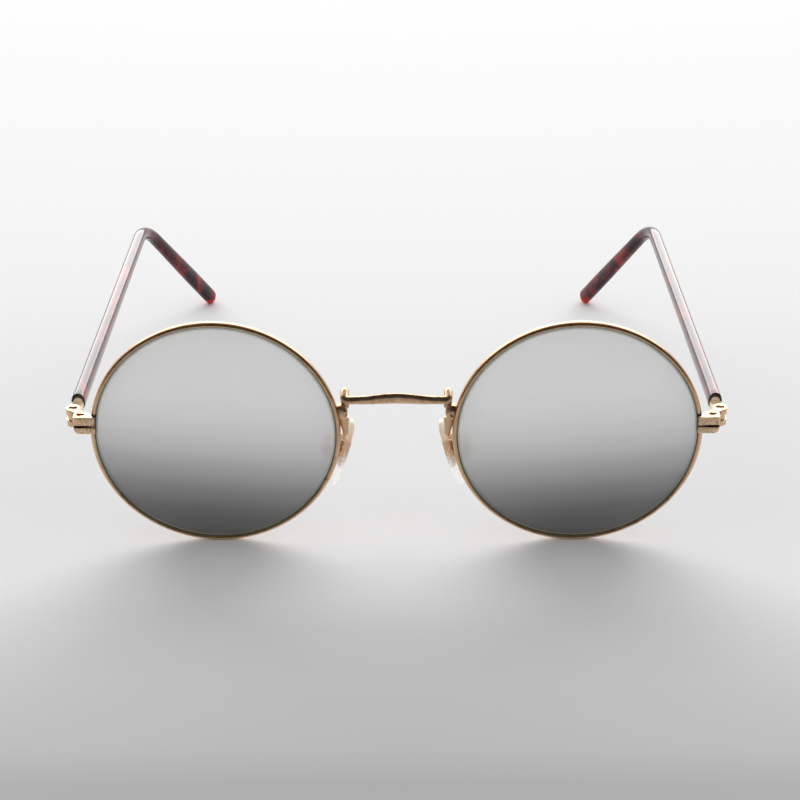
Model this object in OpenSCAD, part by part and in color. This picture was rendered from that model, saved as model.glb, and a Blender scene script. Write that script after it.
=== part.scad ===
// Round wire-rimmed sunglasses, open, standing on the two rims and the two temple tips.
// They are drawn upright in the wearer's frame, with the middle of the lenses at height 0
// and the front of the rims at y = 0, and the last step sets them down as they stand.
// +X is the right-hand side of the picture, +Y runs back along the temples, +Z is up.

/* [Rims and lenses] */
// Width of the lens opening
lens_open = 48; // [42:0.5:54]
// Gap between the two rims at the nose
rim_gap = 22.3; // [20:0.1:27]
// Width of the rim wire, seen from the front
wire_w = 1; // [0.8:0.05:1.4]
// Depth of the rim wire, front to back
wire_d = 1.8; // [1.5:0.1:2.4]
// Thickness of the lens
lens_t = 1.6; // [1.2:0.1:2.2]
// Radius of the lens's front curve
lens_curve = 150; // [100:5:300]
// Height of the bevel that sits in the rim's groove
bevel_h = 0.35; // [0.2:0.05:0.45]
// Width of that bevel
bevel_w = 0.9; // [0.6:0.05:1.1]

/* [Bridge] */
// Height of the bar's ends above the middle of the lenses
bridge_z = 8.5; // [7:0.05:11]
// How far the bar's middle line stands in front of the rims
bridge_out = 0.8; // [0.4:0.1:2]
// Rise of the bar at its middle
bridge_rise = 0.4; // [0:0.1:2]
// Height of the bar at its ends
bar_h_end = 1.5; // [1.1:0.05:1.8]
// Height of the bar at its middle
bar_h_mid = 2.25; // [1.5:0.05:3]
// Thickness of the bar, front to back
bar_t = 1.5; // [1.1:0.05:1.8]
// Width of the legs that the bar turns back into
leg_w = 1.7; // [1.5:0.1:2.2]
// Rise of the legs behind the bar's ends
leg_rise = 0.9; // [0:0.1:1]
// Height of the bar's ends above the feet
leg_l = 2.3; // [1.8:0.1:3]
// Height of the foot that joins bridge, rim and pad arm
foot_h = 3.4; // [2.6:0.1:5]
// Thickness of the foot, front to back
foot_t = 2.6; // [2:0.1:3.2]
// Distance of the foot's front behind the front of the rims
foot_back = 0.35; // [0.1:0.05:0.6]
// Width of the foot beside the rim, at its top
foot_w = 2.4; // [2.4:0.1:3.4]

/* [Nose pads] */
// Height of a nose pad
pad_h = 15; // [12:0.5:17]
// Width of a nose pad
pad_w = 7.6; // [6:0.2:9]
// Thickness of a nose pad
pad_t = 1.8; // [1.6:0.1:2.6]
// How far the middle of a pad lies below the middle of the lenses
pad_drop = 8.1; // [5:0.1:9]
// How far the middle of a pad lies behind the front of the rims
pad_back = 7.4; // [6.5:0.1:9]
// Distance of the middle of a pad from the middle of the nose
pad_x = 11.2; // [9.8:0.1:11.5]
// Slant of the pads, closer together at the top
pad_slant = 18; // [10:1:24]
// Turn of the pads, further apart at the back
pad_splay = 9; // [0:1:15]
// Distance of the pad screw behind the pad's back
pin_out = 1.15; // [1.1:0.05:1.6]
// Thickness of the pad arm's wire
arm_d = 1.2; // [0.8:0.05:1.4]
// Length of the arm's straight part below the foot
arm_drop = 3.3; // [2.5:0.1:5]
// Gap between the arm and the back of the rim
arm_gap = 0.55; // [0.3:0.05:1]
// Drop of the arm while it passes behind the rim
arm_step = 1.2; // [0.8:0.1:2]
// Height of the box that holds the pad's lug
box_h = 4; // [3:0.1:5]
// Inside width of that box, front to back
box_in = 2; // [1.6:0.1:2.4]
// Wall of the box
box_wall = 0.4; // [0.35:0.05:0.6]
// Thickness of the pad screw
pad_screw_d = 0.9; // [0.7:0.1:1.1]

/* [Closing blocks] */
// Height of the block's middle above the middle of the lenses
block_z = 2.5; // [1:0.1:4]
// Height of the upper half, which carries the hinge
block_up = 1.9; // [1.6:0.1:2.4]
// Height of the lower half
block_low = 1.45; // [1.2:0.05:2]
// Gap where the rim opens to take the lens
split_gap = 0.35; // [0.15:0.05:0.4]
// How far the block reaches beyond the rim
block_out = 3.3; // [2.6:0.1:4]
// How far the block stands in front of the rim
block_proud = 0.45; // [0.3:0.05:0.8]
// Radius of the lower half's outer corner
block_round = 1.2; // [0.6:0.1:1.2]
// Thickness of the screw that closes the rim
lock_d = 0.9; // [0.7:0.1:1.1]

/* [Hinges] */
// Distance of the hinge screw behind the front of the rims
hinge_back = 3.7; // [3.5:0.1:5]
// Distance of the hinge screw outside the block's end
hinge_out = 0.5; // [0.4:0.1:1.2]
// Radius of the hinge barrels
barrel_r = 1.4; // [1.3:0.05:1.6]
// Height of the middle barrel, on the temple
barrel_mid = 1; // [0.8:0.05:1.3]
// How far the middle barrel is set back from the others
barrel_back = 0.25; // [0:0.05:0.35]
// Thickness of the hinge screw
hinge_d = 1; // [0.8:0.1:1.2]
// Thickness of the front leaf
leaf_t = 0.5; // [0.4:0.05:0.7]
// How far the temple's middle line lies inside the hinge screw
temple_side = 0.1; // [0:0.05:0.5]
// Width of the temple's butt
butt_w = 2.3; // [1.8:0.1:2.5]
// How far the temple's butt is cut down below the core's top
butt_step = 0.8; // [0.7:0.05:1.1]

/* [Temples] */
// Length of a temple, from the hinge screw round the bend to the tip
temple_l = 141; // [125:1:150]
// Length of the ear piece behind the bend
ear_l = 45; // [38:1:50]
// Fall of the ear piece below the temple's line
ear_drop = 46.5; // [35:0.5:52]
// Turn of the ear piece towards the head
ear_in = 23; // [5:1:24]
// Radius of the bend over the ear
bend_r = 16; // [10:1:24]
// Slope of the temples below a square with the lenses
temple_slope = 1; // [0:0.1:6]
// Turn of the temples towards the head
temple_in = 1.9; // [0:0.1:3]
// Distance from the hinge screw to the front end of the sleeve
sleeve_at = 5.6; // [4:0.1:7]
// Width of the sleeve
sleeve_w = 2.8; // [2.5:0.1:3.2]
// Height of the sleeve at the hinge
sleeve_h = 3.9; // [3.4:0.1:4.4]
// Height of the sleeve at the bend
bend_h = 2.9; // [2.6:0.1:3.6]
// Height of the paddle at the tip
tip_h = 3.9; // [3:0.1:4.4]
// Width of the metal core at the hinge
core_w = 1.9; // [1.6:0.1:2.2]
// Height of the metal core at the hinge
core_h = 2.2; // [2:0.1:3]
// Thickness of the metal core in the ear piece
core_tip = 1.3; // [1:0.1:1.6]
// How far the core ends before the tip
core_short = 9; // [6:1:16]
// How far the core stands out of the front end of the sleeve
core_proud = 0.2; // [0.1:0.05:0.4]

/* [Fits] */
// Gap between seated pieces of one body
seat = 0.02; // [0.01:0.01:0.05]
// Gap round a turning screw
slip = 0.05; // [0.03:0.01:0.08]
// Gap between the hinge's turning faces
play = 0.1; // [0.08:0.01:0.15]
// Gap round the pad's lug in its box
lug_play = 0.15; // [0.1:0.01:0.2]

/* [Hidden] */
$fn = 64;
gold = "#b28f6a";
tortoise = "#6a3f33";
grey = "#8e9292";
cream = "#efe3cc";

// Rims
rim_in = lens_open / 2;
rim_r = rim_in + wire_w;
rim_x = rim_gap / 2 + rim_r;
// The groove runs in the middle of the wire's depth
groove_y = wire_d / 2;
lens_front_y = groove_y - lens_t / 2 - (lens_curve - sqrt(pow(lens_curve, 2) - pow(rim_in, 2)));

// Closing blocks: the outer end of the rim at the block's height, and the block's faces
block_h = block_up + split_gap + block_low;
block_top = block_z + block_h / 2;
split_z = block_top - block_up - split_gap / 2;
block_x1 = rim_x + sqrt(pow(rim_r, 2) - pow(block_z, 2)) + block_out;
block_inset = 0.05;
block_x0 = rim_x + sqrt(pow(rim_in, 2) - pow(block_z, 2)) + block_inset;
lock_share = 0.4;
lock_x = block_x1 - block_out * lock_share;

// Hinges: the screw's line, the leaf's back face, the barrels and the stop for the open temple
hinge_x = block_x1 + hinge_out;
leaf_back = -(temple_side + butt_w / 2 + play);
leaf_in = 1.7;
barrel_end = (block_h - barrel_mid) / 2 - play;
stop_y = barrel_r + play;
mid_r = barrel_r - barrel_back;
block_core = 2;
edge_cut = 0.25;

// Longer than any cut through the small metal pieces
reach = rim_r;

// Screws: the heads' height and radius as a share of the thickness, and their slots
lock_y = hinge_back + leaf_back - leaf_t - lock_d;
screw_head = 0.5;
head_share = 0.85;
slot_w = 0.45;
slot_deep = 0.32;

// The foot between bridge, rim and pad arm
foot_top = bridge_z - leg_l;
foot_x0 = rim_x - sqrt(pow(rim_r, 2) - pow(foot_top, 2)) - foot_w;
leg_x = foot_x0 + bar_t / 2;
leg_y = foot_back + foot_t - bar_t / 2 - seat;
foot_cut = 0.5;

// The bar: where its straight ends begin, where its arch is drawn to, where its round legs
// begin, and its bends
bar_flat = 0.72;
bar_arch = 0.62;
bar_leg = 0.8;
bar_bends = [bar_t * 0.5, bar_t * 0.6];

// Pads, in their own frame: x towards the temple, z up along the pad
pad_pin = pad_t / 2 + pin_out;
plate_t = 0.5;
plate_w = 3;
plate_h = 5.6;
lug_h = 1.4;
eye_wall = 0.3;
lug_r = pad_screw_d / 2 + eye_wall;
box_deep = lug_r + lug_play + box_wall;
box_lip = pad_screw_d / 2 + eye_wall;
box_out = box_in + 2 * box_wall;
pad_head = 0.45;
pad_end = 0.15;

// Temple line and its sizes along the way
bend_at = temple_l - ear_l;
bend_s = bend_at - sleeve_at;
// Shape of the temple's section, where 1 is an ellipse and less is boxier
boxy = 0.9;

// Small helpers
function unit(v) = v / norm(v);
function flat(lists) = [for (a = lists) for (b = a) b];
function ease(t) = let (u = max(0, min(1, t))) u * u * (3 - 2 * u);
function steps(a, b, n) = [for (i = [1:n]) a + (b - a) * i / n];
function tail(list) = [for (i = [1:len(list) - 1]) list[i]];
function power(v, e) = sign(v) * pow(abs(v), e);
function slope_down(p, a) = [p[0], p[1] * cos(a) + p[2] * sin(a), p[2] * cos(a) - p[1] * sin(a)];

// The arc that rounds the corner b between a and c
function corner(a, b, c, r, n) =
    let (u = unit(a - b), v = unit(c - b), half = acos(u * v) / 2, turn = 180 - 2 * half,
         middle = b + unit(u + v) * r / sin(half),
         from = b + u * r / tan(half) - middle, to = b + v * r / tan(half) - middle)
    [for (i = [0:n]) middle + (from * sin(turn * (1 - i / n)) + to * sin(turn * i / n)) / sin(turn)];

// A path through corners, each rounded by the radius of the same place in the list
function rounded(p, r, n) = concat([p[0]],
    flat([for (i = [1:len(p) - 2]) corner(p[i - 1], p[i], p[i + 1], r[i - 1], n)]),
    [p[len(p) - 1]]);
function run(p, i) = i == 0 ? 0 : norm(p[i] - p[i - 1]) + run(p, i - 1);
function headings(p) = [for (i = [0:len(p) - 1])
    unit(p[min(i + 1, len(p) - 1)] - p[max(i - 1, 0)])];
function carried(t, up, i = 0, done = []) = i == len(t) ? done :
    let (u = unit(up - (up * t[i]) * t[i])) carried(t, u, i + 1, concat(done, [u]));

// One closed ring of n points round p, w wide and h high, from round (e = 1) to boxy (e < 1)
function ring(p, t, up, w, h, n, e = 1) = [for (k = [0:n - 1])
    p + cross(t, up) * power(cos(360 * k / n), e) * w / 2 + up * power(sin(360 * k / n), e) * h / 2];

// A solid skin over a row of rings
module loft(rings) {
    n = len(rings[0]);
    m = len(rings);
    walls = [for (i = [0:m - 2]) for (k = [0:n - 1]) let (a = i * n + k, b = i * n + (k + 1) % n)
        each [[a, b, b + n], [a, b + n, a + n]]];
    polyhedron(flat(rings), concat([[for (k = [n - 1:-1:0]) k]], walls,
        [[for (k = [0:n - 1]) (m - 1) * n + k]]));
}

// The temple's middle line in the hinge's frame, from the front end of the sleeve
temple_dir = [-sin(temple_in), cos(temple_in), 0];
ear_dir = [-sin(temple_in + ear_in) * cos(ear_drop), cos(temple_in + ear_in) * cos(ear_drop),
    -sin(ear_drop)];
sleeve_start = [-temple_side, sleeve_at, 0];
temple_corner = sleeve_start + temple_dir * bend_s;
bend_path = corner(sleeve_start, temple_corner, temple_corner + ear_dir * ear_l, bend_r, 9);
ear_end = temple_corner + ear_dir * ear_l;
cap_l = 1.8;
cap_turns = [30, 55, 75, 86];
sleeve_path = concat([sleeve_start], steps(sleeve_start, bend_path[0], 7), tail(bend_path),
    steps(bend_path[len(bend_path) - 1], ear_end - ear_dir * cap_l, 6),
    [for (a = cap_turns) ear_end - ear_dir * cap_l * (1 - sin(a))]);
sleeve_t = headings(sleeve_path);
sleeve_up = carried(sleeve_t, [0, 0, 1]);
sleeve_n = len(sleeve_path);
function cap_size(i) = i < sleeve_n - 4 ? 1 : cos(cap_turns[i - sleeve_n + 4]);
function height_at(s) = sleeve_h + (bend_h - sleeve_h) * ease(s / bend_s)
    + (tip_h - bend_h) * ease((s - bend_s) / (ear_l * 0.75));
function outer_ring(i, n) = ring(sleeve_path[i], sleeve_t[i], sleeve_up[i],
    sleeve_w * cap_size(i), height_at(run(sleeve_path, i)) * cap_size(i), n, boxy);
core_n = sleeve_n - 6;
function core_size(i) = ease(run(sleeve_path, i) / (bend_s * 0.6));
function core_ring(i, n, grow) = ring(core_point(i), sleeve_t[i], sleeve_up[i],
    core_w + (core_tip - core_w) * core_size(i) + 2 * grow,
    core_h + (core_tip - core_h) * core_size(i) + 2 * grow, n, boxy);
function core_point(i) = i < core_n - 1 ? sleeve_path[i] : ear_end - ear_dir * core_short;

// How the glasses stand: the tilt that sets rims and tips on one floor
hinge_at = [hinge_x, hinge_back, block_z];
function worn(p) = slope_down(p, temple_slope) + hinge_at;
tip_points = [for (i = [sleeve_n - 6:sleeve_n - 1]) for (p = outer_ring(i, 16)) worn(p)];
rest_y = wire_d * 0.3;
rest_tilt = max([for (p = tip_points) atan((-rim_r - p[2]) / (p[1] - rest_y))]);
rest_z = rim_r * cos(rest_tilt) - rest_y * sin(rest_tilt);
front_y = (lens_front_y + lens_curve) * cos(rest_tilt) - lens_curve;
back_y = max([for (p = tip_points) p[1] * cos(rest_tilt) - p[2] * sin(rest_tilt)]);

// Sets the upright glasses down on the floor, with the origin under their middle
module standing() {
    translate([0, -(front_y + back_y) / 2, rest_z]) rotate([rest_tilt, 0, 0]) children();
}

// Draws a piece of the right-hand side, or its mirror image on the left
module on_side(s) {
    if (s > 0) standing() children();
    else standing() mirror([1, 0, 0]) children();
}

// Turns a shape round the lens's axis, its y running back from the front of the rims
module round_lens() {
    translate([rim_x, 0, 0]) rotate([-90, 0, 0]) rotate_extrude($fn = 180) children();
}

// Outline of the rim wire: a bar with soft corners
module wire_outline(grow = 0) {
    a = wire_w / 2 + grow;
    b = wire_d / 2 + grow;
    polygon([for (k = [0:19]) [rim_in + wire_w / 2 + a * power(cos(18 * k), 0.7),
        groove_y + b * power(sin(18 * k), 0.7)]]);
}

module eyewire(s) {
    color(gold) on_side(s) difference() {
        round_lens() difference() {
            wire_outline();
            groove_cut();
        }
        translate([rim_x + rim_in - 1, -1, split_z - split_gap / 2])
            cube([wire_w + 3, wire_d + 2, split_gap]);
    }
}

// The V groove inside the wire that takes the lens's bevel
module groove_cut() {
    polygon([[rim_in - 1, groove_y - bevel_w / 2 - seat], [rim_in, groove_y - bevel_w / 2 - seat],
        [rim_in + bevel_h + seat, groove_y], [rim_in, groove_y + bevel_w / 2 + seat],
        [rim_in - 1, groove_y + bevel_w / 2 + seat]]);
}

module lens(s) {
    edge = rim_in - seat;
    color(grey) on_side(s) intersection() {
        translate([rim_x, lens_front_y + lens_curve, 0]) difference() {
            sphere(lens_curve, $fn = 360);
            sphere(lens_curve - lens_t, $fn = 360);
        }
        round_lens() polygon([[0, -rim_r / 2], [edge - 0.5, -rim_r / 2], [edge - 0.5, groove_y - lens_t],
            [edge, groove_y - bevel_w / 2], [edge + bevel_h, groove_y], [edge, groove_y + bevel_w / 2],
            [edge, groove_y + rim_r / 2], [0, groove_y + rim_r / 2]]);
    }
}

// The bridge: a bar that stands proud of the rims, is deepest at its middle,
// and turns back and down at both ends onto its feet
module bridge() {
    leg_top = bridge_z + leg_rise;
    flat_x = leg_x * bar_flat;
    half = rounded([[leg_x, leg_y, foot_top + seat], [leg_x, leg_y, leg_top],
        [leg_x, -bridge_out, bridge_z], [flat_x, -bridge_out, bridge_z]],
        bar_bends, 6);
    arch = [for (i = [-6:6]) let (x = -leg_x * bar_arch * i / 6)
        [x, -bridge_out, bridge_z + bridge_rise * (1 + cos(180 * x / flat_x)) / 2]];
    path = concat(half, arch, [for (i = [len(half) - 1:-1:0]) [-half[i][0], half[i][1], half[i][2]]]);
    t = headings(path);
    up = carried(t, [1, 0, 0]);
    color(gold) standing() loft([for (i = [0:len(path) - 1])
        let (away = abs(path[i][0]) / leg_x, swell = ease(1 - away),
            leg = ease((away - bar_leg) / (1 - bar_leg)))
        ring(path[i], t[i], up[i], bar_h_end + (bar_h_mid - bar_h_end) * swell,
            bar_t + (leg_w - bar_t) * leg, 16)]);
}

// The soldered foot beside the rim that carries the bridge's end and the pad arm
module bridge_foot(s) {
    color(gold) on_side(s) difference() {
        translate([foot_x0, foot_back + foot_t, foot_top]) rotate([90, 0, 0]) linear_extrude(foot_t)
            polygon([[foot_cut, 0], [foot_w + wire_w, 0], [foot_w + wire_w, -foot_h], [foot_cut, -foot_h],
                [0, foot_cut - foot_h], [0, -foot_cut]]);
        round_lens() translate([0, -reach / 2]) square([rim_r + seat, reach]);
    }
}

// The pad's own frame: its middle, slanted and turned to the sides of the nose
module at_pad() {
    translate([pad_x, pad_back, -pad_drop]) rotate([0, 0, -pad_splay]) rotate([0, -pad_slant, 0])
        children();
}
function turned(p, a) = [p[0] * cos(a) - p[2] * sin(a), p[1], p[2] * cos(a) + p[0] * sin(a)];
function swung(p, a) = [p[0] * cos(a) - p[1] * sin(a), p[0] * sin(a) + p[1] * cos(a), p[2]];
function pad_place(p) = swung(turned(p, pad_slant), -pad_splay) + [pad_x, pad_back, -pad_drop];

// The pad arm: down from the foot, back past the rim, and down along the back of the box
module pad_arm(s) {
    top = [foot_x0 + arm_d / 2, foot_back + arm_d, foot_top - foot_h - seat];
    low = top - [0, 0, arm_drop];
    behind = [low[0] + arm_gap, wire_d + arm_gap + arm_d / 2, low[2] - arm_step];
    outside = pad_pin + box_deep + seat + arm_d / 2;
    path = rounded([top, low, behind, pad_place([outside, 0, box_h / 2 + arm_d]),
        pad_place([outside, 0, -box_h / 4])], [0.7, 1, 1.2], 5);
    t = headings(path);
    up = carried(t, [1, 0, 0]);
    color(gold) on_side(s) loft([for (i = [0:len(path) - 1]) ring(path[i], t[i], up[i], arm_d, arm_d, 10)]);
}

// Places what turns on the pad screw, whose line runs front to back through the box
module along_pin() {
    at_pad() translate([pad_pin, 0, 0]) rotate([-90, 0, 0]) children();
}

// The box: a back plate and two cheeks, open towards the pad
module pad_box(s) {
    color(gold) on_side(s) difference() {
        at_pad() translate([pad_pin - box_lip, -box_out / 2, -box_h / 2])
            cube([box_deep + box_lip, box_out, box_h]);
        at_pad() translate([pad_pin - box_lip - 1, -box_in / 2, -box_h])
            cube([box_deep - box_wall + box_lip + 1, box_in, 2 * box_h]);
        along_pin() cylinder(h = box_out + 2, r = pad_screw_d / 2 + seat, center = true);
    }
}

// The pad screw, with a slotted head at the back
module pad_screw(s) {
    head = box_out / 2 + seat;
    color(gold) on_side(s) along_pin() difference() {
        union() {
            translate([0, 0, -box_out / 2 - pad_end])
                cylinder(h = box_out / 2 + pad_end + head + pad_head / 2, r = pad_screw_d / 2);
            translate([0, 0, head]) cylinder(h = pad_head, r = pad_screw_d * head_share);
        }
        translate([-pad_screw_d, -slot_w / 2, head + pad_head - slot_deep])
            cube([2 * pad_screw_d, slot_w, 1]);
    }
}

// The metal core of the pad: a plate inside the plastic, and the lug that the screw holds
module core_plate(grow = 0) {
    at_pad() translate([-plate_t / 2 - grow, -plate_w / 2 - grow, -plate_h / 2 - grow])
        cube([plate_t + 2 * grow, plate_w + 2 * grow, plate_h + 2 * grow]);
}
module lug(grow = 0) {
    w = box_in - 2 * lug_play + 2 * grow;
    at_pad() translate([0, -w / 2, -lug_h / 2 - grow]) cube([pad_pin, w, lug_h + 2 * grow]);
}

module pad_core(s) {
    w = box_in - 2 * lug_play;
    color(gold) on_side(s) difference() {
        union() {
            core_plate();
            lug();
            along_pin() cylinder(h = w, r = lug_r, center = true);
        }
        along_pin() cylinder(h = w + 2, r = pad_screw_d / 2 + slip, center = true);
    }
}

// A nose pad: a soft oval, a little fuller below, moulded over its metal core
module nose_pad(s) {
    rings = [for (i = [0:14]) let (a = 4 + 172 * i / 14, v = -cos(a), wide = sin(a))
        ring([0, 0, v * pad_h / 2], [0, 0, 1], [1, 0, 0],
            pad_w * pow(wide, 0.75) * (1 - 0.08 * v), pad_t * pow(wide, 0.55), 20)];
    color(cream) on_side(s) difference() {
        at_pad() loft(rings);
        core_plate(seat);
        lug(seat);
    }
}

// The plan of the closing block, seen from above, and its front view with the rounded corner
module block_body(z0, h, corner_r) {
    back = hinge_back + leaf_back - leaf_t - seat;
    intersection() {
        translate([0, 0, z0]) linear_extrude(h) polygon([[block_x0, -block_proud],
            [block_x1 - edge_cut, -block_proud], [block_x1, -block_proud + edge_cut], [block_x1, back + 1],
            [block_x1 - block_core, back + 1], [rim_x + rim_r - wire_w / 10, wire_d / 2],
            [block_x0, edge_cut]]);
        translate([0, reach / 2, 0]) rotate([90, 0, 0]) linear_extrude(reach) union() {
            translate([block_x0 - 1, z0 + corner_r]) square([block_x1 - block_x0 + 1, h - corner_r]);
            translate([block_x0 - 1, z0]) square([block_x1 - block_x0 + 1 - corner_r, h]);
            translate([block_x1 - corner_r, z0 + corner_r]) circle(corner_r);
        }
        at_hinge() translate([-reach, -reach, -reach])
            cube([2 * reach, reach + leaf_back - leaf_t - seat, 2 * reach]);
    }
}

// The rim wire and the lens's edge, cut from the closing block with the seating gap
module rim_room() {
    round_lens() wire_outline(seat);
    round_lens() square([rim_in, wire_d + 1]);
}

module closing_block_upper(s) {
    color(gold) on_side(s) difference() {
        block_body(block_top - block_up, block_up, edge_cut);
        rim_room();
        translate([lock_x, lock_y, 0]) cylinder(h = reach, r = lock_d / 2 + seat, center = true);
        translate([lock_x, lock_y, block_top - screw_head - seat])
            cylinder(h = 2 * screw_head, r = lock_d * head_share + seat);
    }
}

module closing_block_lower(s) {
    color(gold) on_side(s) difference() {
        block_body(block_top - block_h, block_low, block_round);
        rim_room();
        translate([lock_x, lock_y, 0]) cylinder(h = reach, r = lock_d / 2 + seat, center = true);
    }
}

// A slotted screw standing on its tip, its head's top at height 0
module slotted_screw(d, l) {
    difference() {
        union() {
            translate([0, 0, -l]) cylinder(h = l - screw_head / 2, r = d / 2);
            translate([0, 0, -screw_head]) cylinder(h = screw_head, r = d * head_share);
        }
        translate([-d, -slot_w / 2, -slot_deep]) cube([2 * d, slot_w, 1]);
    }
}

module lock_screw(s) {
    color(gold) on_side(s) translate([lock_x, lock_y, block_top])
        slotted_screw(lock_d, block_h - play);
}

// The hinge's own frame: the screw's line is z, leaning with the slope of the temple
module at_hinge() {
    translate(hinge_at) rotate([-temple_slope, 0, 0]) children();
}

// The front leaf: a plate on the back of the closing block, with the upper and lower barrels.
// The lower barrel has a square corner, on which the butt comes to rest when the temple is open
module hinge_leaf(s) {
    color(gold) on_side(s) at_hinge() difference() {
        union() {
            translate([-hinge_out - leaf_in, leaf_back - leaf_t, -block_h / 2])
                cube([leaf_in + hinge_out, leaf_t, block_h]);
            for (z = [-block_h / 2, block_h / 2 - barrel_end]) translate([0, 0, z]) {
                cylinder(h = barrel_end, r = barrel_r);
                translate([-barrel_r, leaf_back - leaf_t / 2, 0])
                    cube([barrel_r, leaf_t / 2 - leaf_back, barrel_end]);
            }
            translate([0, 0, -block_h / 2]) cube([barrel_r, stop_y, barrel_end]);
        }
        cylinder(h = reach, r = hinge_d / 2 + seat, center = true);
        translate([0, 0, block_h / 2 - screw_head - seat])
            cylinder(h = 2 * screw_head, r = hinge_d * head_share + seat);
    }
}

module hinge_screw(s) {
    color(gold) on_side(s) at_hinge() translate([0, 0, block_h / 2])
        slotted_screw(hinge_d, block_h - play);
}

// The temple's butt: the middle barrel and the cut-down end that is soldered to the core
module temple_butt(s) {
    x0 = -temple_side - butt_w / 2;
    top = core_h / 2 - butt_step;
    inner = stop_y + play;
    far = sleeve_at - core_proud - seat;
    color(gold) on_side(s) at_hinge() difference() {
        union() {
            translate([0, 0, -barrel_mid / 2]) cylinder(h = barrel_mid, r = mid_r);
            translate([0, 0, -barrel_mid / 2]) linear_extrude(top + barrel_mid / 2)
                polygon([[-mid_r, 0], [x0, mid_r / 2], [x0, far], [x0 + butt_w, far],
                    [x0 + butt_w, 0]]);
            translate([x0, inner, -core_h / 2]) cube([butt_w, far - inner, top + core_h / 2]);
        }
        cylinder(h = reach, r = hinge_d / 2 + slip, center = true);
    }
}

// The metal core, a flat bar at the hinge that thins to a wire in the ear piece
module temple_core(s) {
    first = ring(sleeve_start - [0, core_proud, 0], [0, 1, 0], [0, 0, 1], core_w, core_h, 16, boxy);
    color(gold) on_side(s) at_hinge()
        loft(concat([first], [for (i = [1:core_n - 1]) core_ring(i, 16, 0)]));
}

// The sleeve: one skin that runs out of the blind end of its bore, over the front end
// and along the outside to the rounded tip
module temple_sleeve(s) {
    deep = [for (i = [core_n - 1:-1:0]) core_ring(i, 16, seat)];
    color(tortoise) on_side(s) at_hinge()
        loft(concat(deep, [for (i = [0:sleeve_n - 1]) outer_ring(i, 16)]));
}

eyewire(1);  // eyewire_right
eyewire(-1);  // eyewire_left
lens(1);  // lens_right
lens(-1);  // lens_left
bridge();
bridge_foot(1);  // bridge_foot_right
bridge_foot(-1);  // bridge_foot_left
pad_arm(1);  // pad_arm_right
pad_arm(-1);  // pad_arm_left
pad_box(1);  // pad_box_right
pad_box(-1);  // pad_box_left
pad_screw(1);  // pad_screw_right
pad_screw(-1);  // pad_screw_left
pad_core(1);  // pad_core_right
pad_core(-1);  // pad_core_left
nose_pad(1);  // nose_pad_right
nose_pad(-1);  // nose_pad_left
closing_block_upper(1);  // closing_block_upper_right
closing_block_upper(-1);  // closing_block_upper_left
closing_block_lower(1);  // closing_block_lower_right
closing_block_lower(-1);  // closing_block_lower_left
lock_screw(1);  // lock_screw_right
lock_screw(-1);  // lock_screw_left
hinge_leaf(1);  // hinge_leaf_right
hinge_leaf(-1);  // hinge_leaf_left
hinge_screw(1);  // hinge_screw_right
hinge_screw(-1);  // hinge_screw_left
temple_butt(1);  // temple_butt_right
temple_butt(-1);  // temple_butt_left
temple_core(1);  // temple_core_right
temple_core(-1);  // temple_core_left
temple_sleeve(1);  // temple_sleeve_right
temple_sleeve(-1);  // temple_sleeve_left
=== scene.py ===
# %% [markdown]
# # Round sunglasses with a gold wire front and tortoise temples
# The solids come from the CAD model and stay where they are. This lesson dresses them: first
# the helpers that turn a formula into a mesh and arithmetic into shader nodes, then one piece
# or one finish after another, and at the end the table, the light and the camera.

# %% The frame
import math

import bmesh
import bpy
import numpy as np
from mathutils import Matrix, Vector


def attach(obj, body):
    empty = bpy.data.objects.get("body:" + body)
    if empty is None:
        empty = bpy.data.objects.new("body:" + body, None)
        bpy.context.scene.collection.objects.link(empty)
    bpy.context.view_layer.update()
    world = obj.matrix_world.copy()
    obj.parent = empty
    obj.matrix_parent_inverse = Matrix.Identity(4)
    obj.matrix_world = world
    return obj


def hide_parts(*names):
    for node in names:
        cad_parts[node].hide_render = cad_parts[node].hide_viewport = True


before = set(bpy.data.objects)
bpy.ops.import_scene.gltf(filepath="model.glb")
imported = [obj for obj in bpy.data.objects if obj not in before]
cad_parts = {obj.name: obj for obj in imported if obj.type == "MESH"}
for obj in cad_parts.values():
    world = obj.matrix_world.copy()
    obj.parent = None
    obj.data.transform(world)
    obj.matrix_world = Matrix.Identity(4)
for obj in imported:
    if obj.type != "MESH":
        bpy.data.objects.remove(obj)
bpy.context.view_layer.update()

print("CAD nodes:", len(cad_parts))

# %% [markdown]
# ## How the glasses stand
# Eyeglass makers measure a front upright, as it is worn. In a photograph the glasses lean a
# little forward, on the two rims and the two temple tips. So every shape below is worked out
# upright, in millimetres, with height 0 in the middle of the lenses and depth 0 at the front
# of the rims, and one small function sets it down on the floor in metres. The same numbers
# could be typed for the leaning glasses, but then no width or drop could be read off a ruler.

# %% From the wearer's upright frame to the floor
# The front leans by TILT, and the middle of a lens lies RISE above the floor and, along y,
# SHIFT from the origin, in mm. The temples run down by SLOPE from the hinge screws, and HINGE
# is the middle of the right one.
TILT, SLOPE = math.radians(3.55948), math.radians(1.0)
RISE, SHIFT = 24.9182, -63.7245
HINGE = np.array([64.8247, 3.7, 2.5])
SIDES = {"right": 1, "left": -1}


def stand(points, side=1):
    """Mirrors x for the left side, turns y and z by TILT, lifts by RISE, moves by SHIFT, and
    turns millimetres into metres."""
    x, y, z = np.moveaxis(np.asarray(points, float) * (side, 1, 1), -1, 0)
    c, s = math.cos(TILT), math.sin(TILT)
    return np.stack([x, y * c - z * s + SHIFT, y * s + z * c + RISE], -1) / 1000


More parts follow.
